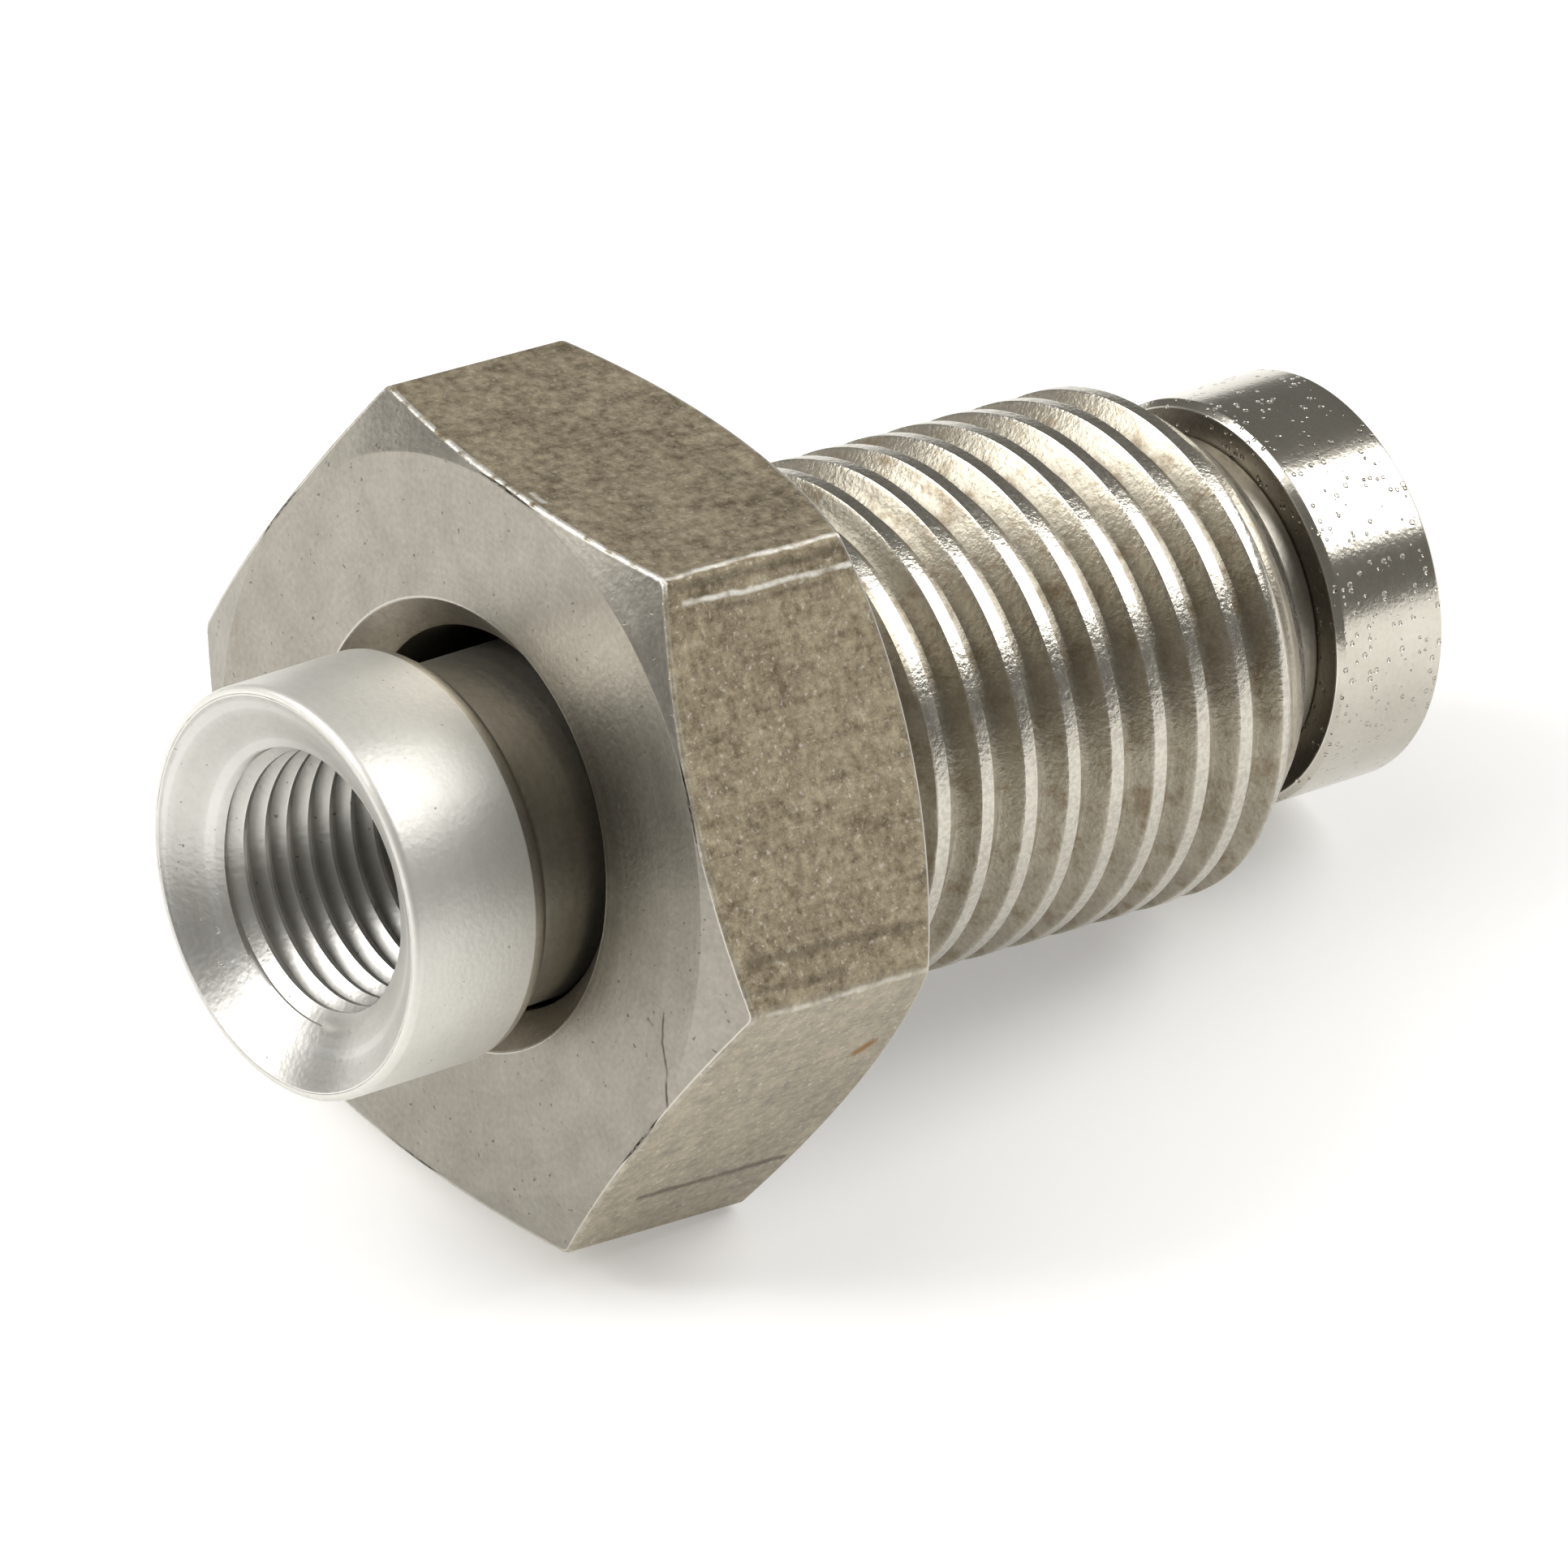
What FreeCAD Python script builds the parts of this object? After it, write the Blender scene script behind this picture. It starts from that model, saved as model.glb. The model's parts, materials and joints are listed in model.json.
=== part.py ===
import FreeCAD, Part
import math
import os

# Brake hose adapter. A hexagonal gland nut turns freely on a tube. The tube has a collar
# with a tapped, cone-shaped hose mouth at one end, and a plain sleeve pressed on the other,
# so that the nut can't come off. The adapter lies on its side, on the back edge of one flat
# of the hexagon and on the end of its thread. Lengths are in millimetres, angles in degrees.

# Hexagon of the gland nut. Its bevels are crowned, and each angle is that at the face's rim
hex_across_flats = 17.0
hex_height = 6.3
front_face_diameter = 16.8
front_bevel_angle = 18.5
back_face_diameter = 16.7
back_bevel_angle = 27.5

# Threaded shank of the gland nut, drawn at its crest diameter
thread_diameter = 11.85
thread_end = 18.95
nose_length = 1.45
nose_angle = 38.0

# Bore of the gland nut, which the tube passes through
bore_diameter = 8.7
bore_mouth_diameter = 10.25
bore_mouth_angle = 90.0
bore_exit_bevel = 0.1

# Collar at the hose end of the tube
collar_diameter = 9.44
collar_length = 3.9
collar_projection = 4.85
collar_front_round = 0.15
collar_back_round = 0.6
mouth_rim_width = 0.22
mouth_cone_angle = 118.0

# Tapped hose bore and fluid passage, drawn at the thread's inner diameter
hose_bore_diameter = 5.9
hose_bore_depth = 8.0
drill_point_angle = 118.0
passage_diameter = 2.6
passage_mouth_diameter = 4.2
passage_mouth_angle = 90.0

# Stem of the tube, with a spigot that carries the sleeve
stem_root_round = 0.25
stem_radial_play = 0.39
spigot_diameter = 6.4
spigot_end_gap = 0.2
spigot_bevel = 0.15

# Sleeve pressed on the spigot
sleeve_diameter = 9.48
sleeve_length = 3.1
sleeve_gap = 1.07
sleeve_outer_bevel = 0.15
sleeve_inner_bevel = 0.2

# Least gap between the leaning stem and the bore that it lies in
lean_gap = 0.05

# How far a cutting tool runs past the faces that it cuts
tool_margin = 1.0

# Angles that a hexagon and a turned shape have by their nature
half_turn = 180
full_turn = 360
hex_sides = 6
hex_half_side = half_turn / hex_sides

# Radii and places that follow from the sizes above
hex_inner_radius = hex_across_flats / 2
hex_corner_radius = hex_inner_radius / math.cos(math.radians(hex_half_side))
thread_radius = thread_diameter / 2
bore_radius = bore_diameter / 2
collar_radius = collar_diameter / 2
stem_radius = bore_radius - stem_radial_play
hose_bore_radius = hose_bore_diameter / 2
passage_radius = passage_diameter / 2
spigot_radius = spigot_diameter / 2
sleeve_radius = sleeve_diameter / 2
nut_length = thread_end + nose_length
mouth_x = -collar_projection
stem_start = mouth_x + collar_length
stem_end = nut_length + sleeve_gap
tube_end = stem_end + sleeve_length


def tangent(angle):
    return math.tan(math.radians(angle))


def unit(vector):
    return vector * (1 / vector.Length)


def turned(corners):
    """Turn a closed outline about the X axis. A corner is x, radius from the axis and rounding."""
    points = [FreeCAD.Vector(x, 0, radius) for x, radius, rounding in corners]
    starts = []
    ends = []
    edges = []
    for index, point in enumerate(points):
        rounding = corners[index][2]
        back = unit(points[index - 1] - point)
        ahead = unit(points[(index + 1) % len(points)] - point)
        half_angle = back.getAngle(ahead) / 2
        start = point + back * (rounding / math.tan(half_angle))
        end = point + ahead * (rounding / math.tan(half_angle))
        if rounding > 0:
            middle = point + unit(back + ahead) * (rounding / math.sin(half_angle) - rounding)
            edges.append(Part.Arc(start, middle, end).toShape())
        starts.append(start)
        ends.append(end)
    for index, end in enumerate(ends):
        edges.append(Part.LineSegment(end, starts[(index + 1) % len(starts)]).toShape())
    outline = Part.Wire(Part.__sortEdges__(edges))
    return Part.Face(outline).revolve(FreeCAD.Vector(0, 0, 0), FreeCAD.Vector(1, 0, 0), full_turn)


def hexagon_prism():
    """A hexagon along X from 0, with one of its flats on top."""
    corners = []
    for index in range(hex_sides + 1):
        angle = math.radians(hex_half_side + 2 * hex_half_side * index)
        corners.append(FreeCAD.Vector(0, hex_corner_radius * math.sin(angle),
                                      hex_corner_radius * math.cos(angle)))
    return Part.Face(Part.makePolygon(corners)).extrude(FreeCAD.Vector(hex_height, 0, 0))


def bevel_ball(face_diameter, bevel_angle):
    """Radius of the ball that bevels a face of the hexagon, and how deep behind the face its centre is."""
    radius = face_diameter / 2 / math.sin(math.radians(bevel_angle))
    return radius, radius * math.cos(math.radians(bevel_angle))


def bevel_drop(face_diameter, bevel_angle, radius):
    """How far behind its face the bevel has dropped, at a radius from the axis."""
    ball_radius, centre_depth = bevel_ball(face_diameter, bevel_angle)
    return centre_depth - math.sqrt(ball_radius ** 2 - radius ** 2)


def bevelled_hexagon():
    """The hexagon with its corners turned off, front and back, by a crowned bevel."""
    front_radius, front_depth = bevel_ball(front_face_diameter, front_bevel_angle)
    back_radius, back_depth = bevel_ball(back_face_diameter, back_bevel_angle)
    front_ball = Part.makeSphere(front_radius)
    back_ball = Part.makeSphere(back_radius)
    back_ball.rotate(FreeCAD.Vector(0, 0, 0), FreeCAD.Vector(0, 0, 1), half_turn)
    front_ball.translate(FreeCAD.Vector(front_depth, 0, 0))
    back_ball.translate(FreeCAD.Vector(hex_height - back_depth, 0, 0))
    return hexagon_prism().common(front_ball).common(back_ball)


def threaded_shank():
    nose_radius = thread_radius - nose_length * tangent(nose_angle)
    return turned([
        (hex_height / 2, 0, 0),
        (hex_height / 2, thread_radius, 0),
        (thread_end, thread_radius, 0),
        (nut_length, nose_radius, 0),
        (nut_length, 0, 0),
    ])


def nut_bore_tool():
    mouth_radius = bore_mouth_diameter / 2
    mouth_slope = tangent(bore_mouth_angle / 2)
    mouth_depth = (mouth_radius - bore_radius) / mouth_slope
    return turned([
        (-tool_margin, 0, 0),
        (-tool_margin, mouth_radius + tool_margin * mouth_slope, 0),
        (mouth_depth, bore_radius, 0),
        (nut_length - bore_exit_bevel, bore_radius, 0),
        (nut_length + tool_margin, bore_radius + bore_exit_bevel + tool_margin, 0),
        (nut_length + tool_margin, 0, 0),
    ])


def make_gland_nut():
    body = bevelled_hexagon().fuse(threaded_shank()).cut(nut_bore_tool())
    return body.removeSplitter().Solids[0]


def make_swivel_tube():
    cone_start_radius = collar_radius - mouth_rim_width
    cone_depth = (cone_start_radius - hose_bore_radius) / tangent(mouth_cone_angle / 2)
    hose_bore_end = mouth_x + cone_depth + hose_bore_depth
    drill_depth = (hose_bore_radius - passage_radius) / tangent(drill_point_angle / 2)
    passage_mouth_radius = passage_mouth_diameter / 2
    passage_mouth_depth = (passage_mouth_radius - passage_radius) / tangent(passage_mouth_angle / 2)
    spigot_end = tube_end - spigot_end_gap
    return turned([
        (mouth_x, cone_start_radius, 0),
        (mouth_x, collar_radius, collar_front_round),
        (stem_start, collar_radius, collar_back_round),
        (stem_start, stem_radius, stem_root_round),
        (stem_end, stem_radius, 0),
        (stem_end, spigot_radius, 0),
        (spigot_end - spigot_bevel, spigot_radius, 0),
        (spigot_end, spigot_radius - spigot_bevel, 0),
        (spigot_end, passage_mouth_radius, 0),
        (spigot_end - passage_mouth_depth, passage_radius, 0),
        (hose_bore_end + drill_depth, passage_radius, 0),
        (hose_bore_end, hose_bore_radius, 0),
        (mouth_x + cone_depth, hose_bore_radius, 0),
    ])


def make_end_sleeve():
    """The ring on the spigot, face to face with the end of the stem."""
    return turned([
        (stem_end, spigot_radius, 0),
        (stem_end, sleeve_radius - sleeve_outer_bevel, 0),
        (stem_end + sleeve_outer_bevel, sleeve_radius, 0),
        (tube_end - sleeve_outer_bevel, sleeve_radius, 0),
        (tube_end, sleeve_radius - sleeve_outer_bevel, 0),
        (tube_end, spigot_radius + sleeve_inner_bevel, 0),
        (tube_end - sleeve_inner_bevel, spigot_radius, 0),
    ])


def lean_in_bore():
    """Turn that tips the tube, sleeve end up, until its stem nearly meets the bore at both ends."""
    mouth_depth = (bore_mouth_diameter / 2 - bore_radius) / tangent(bore_mouth_angle / 2)
    bore_end = nut_length - bore_exit_bevel
    middle = FreeCAD.Vector((mouth_depth + bore_end) / 2, 0, 0)
    rise = 2 * (stem_radial_play - lean_gap)
    angle = math.degrees(math.atan(rise / (bore_end - mouth_depth)))
    return FreeCAD.Placement(FreeCAD.Vector(0, 0, 0),
                             FreeCAD.Rotation(FreeCAD.Vector(0, 1, 0), -angle), middle)


def rest_on_floor():
    """Turn and lift that set the hexagon's lower back edge and the thread's end on the floor."""
    edge_x = hex_height - bevel_drop(back_face_diameter, back_bevel_angle, hex_inner_radius)
    dip = math.atan((hex_inner_radius - thread_radius) / (thread_end - edge_x))
    lift = edge_x * math.sin(dip) + hex_inner_radius * math.cos(dip)
    return FreeCAD.Placement(FreeCAD.Vector(0, 0, lift),
                             FreeCAD.Rotation(FreeCAD.Vector(0, 1, 0), math.degrees(dip)))


nut_placement = rest_on_floor()
tube_placement = nut_placement.multiply(lean_in_bore())
pieces = {
    "gland_nut": make_gland_nut().transformed(nut_placement.toMatrix()),
    "swivel_tube": make_swivel_tube().transformed(tube_placement.toMatrix()),
    "end_sleeve": make_end_sleeve().transformed(tube_placement.toMatrix()),
}

# The origin is on the floor, below the middle of the whole adapter
whole = Part.makeCompound(list(pieces.values())).optimalBoundingBox()
centring = FreeCAD.Vector(-whole.Center.x, -whole.Center.y, 0)

os.makedirs("parts", exist_ok=True)
for name, shape in pieces.items():
    shape.translate(centring)
    shape.exportStep("parts/" + name + ".step")
    print(name, shape.ShapeType, "valid", shape.isValid(), "volume", round(shape.Volume, 3))
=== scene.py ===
import json
import math

import bmesh
import bpy
import numpy as np
from mathutils import Matrix, Vector


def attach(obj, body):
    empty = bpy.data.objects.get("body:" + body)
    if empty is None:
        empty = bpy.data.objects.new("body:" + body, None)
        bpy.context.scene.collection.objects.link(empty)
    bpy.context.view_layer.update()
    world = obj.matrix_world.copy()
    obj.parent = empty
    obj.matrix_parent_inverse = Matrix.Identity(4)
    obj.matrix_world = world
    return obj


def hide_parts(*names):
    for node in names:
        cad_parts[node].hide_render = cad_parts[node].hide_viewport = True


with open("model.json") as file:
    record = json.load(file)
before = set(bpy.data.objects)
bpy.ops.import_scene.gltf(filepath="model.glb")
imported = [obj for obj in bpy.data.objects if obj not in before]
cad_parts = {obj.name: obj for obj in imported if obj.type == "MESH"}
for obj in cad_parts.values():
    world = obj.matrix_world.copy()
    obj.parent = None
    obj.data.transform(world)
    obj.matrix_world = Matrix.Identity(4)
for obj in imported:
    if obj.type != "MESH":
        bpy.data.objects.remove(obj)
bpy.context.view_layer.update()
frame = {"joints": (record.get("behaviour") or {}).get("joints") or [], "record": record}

# Looks of a brake hose adapter: a threaded gland nut with a hexagon turns on a tube, which has
# a collar with a tapped mouth at one end and a bright sleeve at the other. Each piece is drawn in
# millimetres along its own axis, local X, and then put in its place in the row frame.

MILLIMETRE = 0.001
MICROMETRE = 0.000001
FULL_TURN = 2 * math.pi

# Hexagon of the gland nut
HEX_ACROSS_FLATS = 17.0
HEX_HEIGHT = 6.3
HEX_SIDES = 6
HEX_CORNER_ROUND = 0.25
FRONT_FACE_RADIUS = 8.4
FRONT_BEVEL_ANGLE = math.radians(18.5)
FRONT_RIM_ROUND = 0.1
BACK_FACE_RADIUS = 8.35
BACK_BEVEL_ANGLE = math.radians(27.5)
BACK_RIM_ROUND = 0.05
EDGE_ROUND = 0.09

# Places that follow from the hexagon's sizes
HEX_INNER_RADIUS = HEX_ACROSS_FLATS / 2
HEX_HALF_SIDE = math.pi / HEX_SIDES
HEX_ARC_CENTRE = HEX_INNER_RADIUS - HEX_CORNER_ROUND
HEX_CORNER_START = math.atan(HEX_ARC_CENTRE * math.tan(HEX_HALF_SIDE) / HEX_INNER_RADIUS)

# Shank, thread and bore of the gland nut
SHANK_RADIUS = 5.925
SHANK_ROOT_ROUND = 0.15
THREAD_START = 7.5
THREAD_FULL = 8.4
THREAD_RUN_OUT = 0.35
NOSE_START = 18.95
NOSE_LENGTH = 1.45
NOSE_ANGLE = math.radians(38)
THREAD_PITCH = 1.25
THREAD_DEPTH = 0.51
THREAD_ROOT_SHARE = 0.25
THREAD_FLANK_ANGLE = math.radians(30)
THREAD_PHASE = 0.887
BORE_RADIUS = 4.35
BORE_ROUND = 0.05
BORE_MOUTH_RADIUS = 5.125
BORE_MOUTH_ROUND = 0.04
BORE_EXIT_BEVEL = 0.1
BORE_EXIT_ROUND = 0.02

# Collar, stem and spigot of the tube
MOUTH_X = -4.85
COLLAR_RADIUS = 4.72
COLLAR_LENGTH = 3.9
COLLAR_FRONT_ROUND = 0.15
COLLAR_BACK_ROUND = 0.6
MOUTH_RIM_WIDTH = 0.22
MOUTH_RIM_ROUND = 0.03
MOUTH_RIM_DEPTH = 0.04
MOUTH_CONE_ANGLE = 118
STEM_RADIUS = 3.96
STEM_ROOT_ROUND = 0.25
STEM_END = 21.47
STEM_END_ROUND = 0.08
SPIGOT_RADIUS = 3.2
SPIGOT_END_GAP = 0.2
SPIGOT_BEVEL = 0.15
SPIGOT_ROUND = 0.03

# Tapped hose bore and fluid passage
HOSE_BORE_RADIUS = 2.95
HOSE_BORE_DEPTH = 8.0
HOSE_THREAD_PITCH = 0.6
HOSE_THREAD_DEPTH = 0.3
HOSE_THREAD_ROOT_SHARE = 0.1
HOSE_THREAD_FLANK_SHARE = 0.36
HOSE_THREAD_PHASE = 0.0
HOSE_THREAD_RUN_OUT = 0.9
HOSE_THREAD_END_GAP = 0.5
DRILL_POINT_ANGLE = 118
PASSAGE_RADIUS = 1.3
PASSAGE_MOUTH_RADIUS = 2.1
PASSAGE_ROUND = 0.05

# Sleeve
SLEEVE_RADIUS = 4.74
SLEEVE_LENGTH = 3.1
SLEEVE_OUTER_BEVEL = 0.15
SLEEVE_INNER_BEVEL = 0.2
SLEEVE_END_ROUND = 0.03
SLEEVE_SIDE_ROUND = 0.05

# Places that follow from the sizes of the tube
MOUTH_SLOPE = math.tan(math.radians(MOUTH_CONE_ANGLE / 2))
DRILL_SLOPE = math.tan(math.radians(DRILL_POINT_ANGLE / 2))
CONE_START_RADIUS = COLLAR_RADIUS - MOUTH_RIM_WIDTH
HOSE_BORE_START = MOUTH_X + (CONE_START_RADIUS - HOSE_BORE_RADIUS) / MOUTH_SLOPE
HOSE_BORE_END = HOSE_BORE_START + HOSE_BORE_DEPTH
TUBE_END = STEM_END + SLEEVE_LENGTH

# Fineness of the meshes
FLAT_CELLS = 34
CORNER_CELLS = 4
TUBE_CELLS = 168
ARC_CELLS = 4
WEAR_MARGIN = 0.05
CREST_SOFTNESS = 0.03
WELD = 0.0008
SHARP_EDGE = math.radians(38)
UV_NAME = "along_and_round"
WEAR_NAME = "wear"

# Camera. The nearest and the farthest that it sees are in metres, its other lengths in millimetres
CAMERA_AZIMUTH = math.radians(-37.38)
CAMERA_ELEVATION = math.radians(35.87)
CAMERA_ROLL = math.radians(-2.01)
CAMERA_DISTANCE = 544.7
CAMERA_TARGET = (-1.208, -0.754, 7.098)
CAMERA_LENS = 563.4
CAMERA_SENSOR = 36.0
CAMERA_NEAREST = 0.01
CAMERA_FARTHEST = 20

# Studio, with the floor's reach in metres
FLOOR_REACH = 3.0
FLOOR_COLOUR = (0.92, 0.915, 0.90, 1.0)
FLOOR_ROUGHNESS = 0.9
FLOOR_GLOW = 0.30
ROOM_COLOUR = (0.20, 0.195, 0.185, 1.0)

# Lamps: name, direction from the object, distance, width and height in metres, and radiance
LAMPS = [
    ("main_softbox", (0.70, -0.26, 0.65), 0.40, 0.24, 0.22, 5.4),
    ("left_softbox", (-0.61, 0.46, 0.65), 0.45, 0.26, 0.26, 7.0),
    ("top_softbox", (-0.20, 0.15, 0.97), 0.50, 0.36, 0.36, 1.4),
]

# Finishes of the nut, of the tube and of the sleeve, by number
FACE, FLAT, THREAD, BORE = range(4)
COLLAR, CONE, STEM, HOLE = range(4)
# The sleeve's end faces have a dark colour that is painted shade
RIM, PAINTED_SHADE_END = range(2)

# Colours of worn edges, of a painted floor reflection on the flat that faces the floor, and of rust
BRIGHT_EDGE = (0.86, 0.83, 0.76)
COLLAR_EDGE = (0.90, 0.89, 0.86)
PAINTED_FLOOR_REFLECTION = (0.60, 0.57, 0.50)
RUST = (0.30, 0.16, 0.05)

# Stretch of the noise along a piece's outline and round its axis, which draws it out into lines
LATHE_LINES = Vector((9.0, 0.02, 0))
POLISHING_LINES = Vector((10.0, 0.02, 0))
BAR_LINES = Vector((0.15, 8.0, 0))

# Round pits of the sleeve. Each cell has a pit of its own size, or none
SLEEVE_PITS_PER_MM = 5.5
SLEEVE_PIT_LARGEST = 0.44
SLEEVE_PIT_SPREAD = 0.6
SLEEVE_PIT_SLOPE = 0.16

# Ways out from the axis, in the nut's own frame, of the top flat, whose edges carry the most wear and a
# painted highlight, and of the flat that faces the floor, painted paler as a floor reflection
WORN_AND_PAINTED_GLINT_FLAT = Vector((0, 0, 1))
FLOOR_FACING_FLAT = Vector((0, -math.cos(HEX_HALF_SIDE), -math.sin(HEX_HALF_SIDE)))

# Marks on the nut, in its own frame: start, end, width and strength
# The bright marks along the hexagon's corners and the top flat's front edge are partly burnished wear and
# partly painted highlights
WEAR_AND_GLINT_MARKS = [
    ((0.95, -5.20, 7.95), (5.9, -5.26, 7.86), 0.09, 1.0),
    ((0.6, -4.86, 8.50), (5.6, -4.86, 8.50), 0.09, 1.0),
    ((0.34, -0.5, 8.5), (0.34, -0.95, 8.5), 0.09, 1.0),
    ((0.9, -9.75, 0.0), (5.5, -9.75, 0.0), 0.09, 0.45),
]
DARK_MARKS = [
    ((0.7, -9.2, 1.05), (5.5, -9.25, 0.95), 0.16, 0.45),
    ((0.8, -9.5, 0.45), (3.2, -9.5, 0.45), 0.16, 0.4),
    ((1.5, -5.9, -6.77), (5.6, -5.9, -6.80), 0.16, 0.65),
    ((0.9, -5.02, 8.25), (5.8, -5.05, 8.20), 0.15, 0.5),
    ((1.3, -5.33, 7.70), (5.0, -5.36, 7.66), 0.10, 0.4),
]
RUST_MARKS = [
    ((5.15, -8.2, -2.77), (5.4, -8.3, -2.60), 0.26, 1.0),
]
FACE_MARKS = [
    ((0.0, -7.45, -0.9), (0.0, -7.50, -1.6), 0.05, 0.8),
    ((0.0, -7.50, -1.6), (0.0, -7.80, -2.2), 0.06, 0.9),
    ((0.0, -7.80, -2.2), (0.0, -8.05, -3.4), 0.06, 0.9),
    ((0.0, -7.0, -1.3), (0.0, -7.15, -1.35), 0.06, 0.6),
]

# How far marks waver, in millimetres, how closely, and the share of their width at full strength
MARK_WAVER = 0.2
MARK_WAVES_PER_MM = 1.5
MARK_CORE_SHARE = 0.3


def across(angle):
    """Distance from the nut's axis to the hexagon's side, at an angle from the middle of a flat."""
    if abs(angle) <= HEX_CORNER_START:
        return HEX_INNER_RADIUS / math.cos(angle)
    centre = HEX_ARC_CENTRE / math.cos(HEX_HALF_SIDE)
    turn = HEX_HALF_SIDE - abs(angle)
    return centre * math.cos(turn) + math.sqrt(HEX_CORNER_ROUND ** 2 - (centre * math.sin(turn)) ** 2)


def hexagon_angles():
    """Angles round the nut, closer together over each rounded corner, and how far each is from the
    middle of its flat."""
    corner_end = 2 * HEX_HALF_SIDE - HEX_CORNER_START
    steps = list(np.linspace(-HEX_CORNER_START, HEX_CORNER_START, FLAT_CELLS + 1))
    steps += list(np.linspace(HEX_CORNER_START, corner_end, CORNER_CELLS + 1)[1:-1])
    around = []
    from_flat = []
    for side in range(HEX_SIDES):
        for step in steps:
            around.append(HEX_HALF_SIDE + 2 * HEX_HALF_SIDE * side + step)
            from_flat.append(step if step <= HEX_HALF_SIDE else step - 2 * HEX_HALF_SIDE)
    return np.array(around), np.array(from_flat)


def tube_angles():
    return np.linspace(0, FULL_TURN, TUBE_CELLS, endpoint=False)


def rounded(corners, closed=False):
    """Stations along an outline. A corner is x, radius, rounding, finish and wear, and x and radius may
    differ round the axis. A station is x and radius, wear, and the finish of the surface that follows it."""
    size = max(np.size(value) for corner in corners for value in corner[:2])
    points = [np.stack([np.broadcast_to(x, size), np.broadcast_to(radius, size)], axis=1).astype(float)
              for x, radius, *_ in corners]
    stations = []
    for index, point in enumerate(points):
        rounding, finish, worn = corners[index][2:]
        at_end = not closed and index in (0, len(points) - 1)
        if at_end or rounding == 0:
            stations.append((point, worn, finish))
            continue
        back = points[index - 1] - point
        ahead = points[(index + 1) % len(points)] - point
        back /= np.linalg.norm(back, axis=1)[:, None]
        ahead /= np.linalg.norm(ahead, axis=1)[:, None]
        half = np.arccos(np.clip((back * ahead).sum(axis=1), -1, 1)) / 2
        bisector = back + ahead
        bisector /= np.linalg.norm(bisector, axis=1)[:, None]
        centre = point + bisector * (rounding / np.sin(half))[:, None]
        first = point + back * (rounding / np.tan(half))[:, None] - centre
        last = point + ahead * (rounding / np.tan(half))[:, None] - centre
        turn = math.pi - 2 * half
        margin = min(rounding, WEAR_MARGIN)
        stations.append((centre + first + back * margin, 0.0, corners[index - 1][3]))
        for step in range(ARC_CELLS + 1):
            share = step / ARC_CELLS
            spoke = np.sin((1 - share) * turn)[:, None] * first + np.sin(share * turn)[:, None] * last
            spoke /= np.sin(turn)[:, None]
            stations.append((centre + spoke, worn, finish))
        stations.append((centre + last + ahead * margin, 0.0, finish))
    return stations


def turned(mesh, around, stations, closed=False):
    """Adds to a mesh the surface that the stations sweep round the axis."""
    uv = mesh.loops.layers.uv[UV_NAME]
    wear = mesh.verts.layers.float[WEAR_NAME]
    rings = []
    lengths = [0.0]
    cosines = np.cos(around)
    sines = np.sin(around)
    for index, (points, worn, _) in enumerate(stations):
        points = np.broadcast_to(points, (len(around), 2))
        ring = []
        for (x, radius), cosine, sine in zip(points, cosines, sines):
            vertex = mesh.verts.new((x, radius * cosine, radius * sine))
            vertex[wear] = worn
            ring.append(vertex)
        rings.append(ring)
        if index:
            lengths.append(lengths[-1] + np.linalg.norm(points - previous, axis=1).mean())
        previous = points
    if closed:
        rings.append(rings[0])
        lengths.append(lengths[-1] + np.linalg.norm(stations[0][0] - previous, axis=1).mean())
    turns = np.append(around, around[0] + FULL_TURN) * SHANK_RADIUS
    for row in range(len(rings) - 1):
        for column in range(len(around)):
            after = (column + 1) % len(around)
            corners = (rings[row][column], rings[row][after], rings[row + 1][after], rings[row + 1][column])
            face = mesh.faces.new(corners)
            face.material_index = stations[row][2]
            face.smooth = True
            places = ((row, column), (row, column + 1), (row + 1, column + 1), (row + 1, column))
            for loop, (ring, turn) in zip(face.loops, places):
                loop[uv].uv = (lengths[ring], turns[turn])


class Rule:
    """A number inside a node tree, so that a rule can be written as a formula."""

    def __init__(self, tree, socket):
        self.tree = tree
        self.socket = socket

    def math(self, operation, *others):
        node = self.tree.nodes.new("ShaderNodeMath")
        node.operation = operation
        for place, value in enumerate((self, *others)):
            if isinstance(value, Rule):
                self.tree.links.new(value.socket, node.inputs[place])
            else:
                node.inputs[place].default_value = value
        return Rule(self.tree, node.outputs[0])

    def __add__(self, other):
        return self.math("ADD", other)

    def __sub__(self, other):
        return self.math("SUBTRACT", other)

    def __mul__(self, other):
        return self.math("MULTIPLY", other)

    def __truediv__(self, other):
        return self.math("DIVIDE", other)

    def between(self, low, high):
        return self.math("MAXIMUM", low).math("MINIMUM", high)


THREAD_INPUTS = (
    "Pitch", "Crest Radius", "Depth", "Root Flat", "Flank Rise", "Phase", "Full Depth At", "Run Out",
    "First X", "Last X", "Cone X", "Cone Slope", "Side",
)


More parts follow.
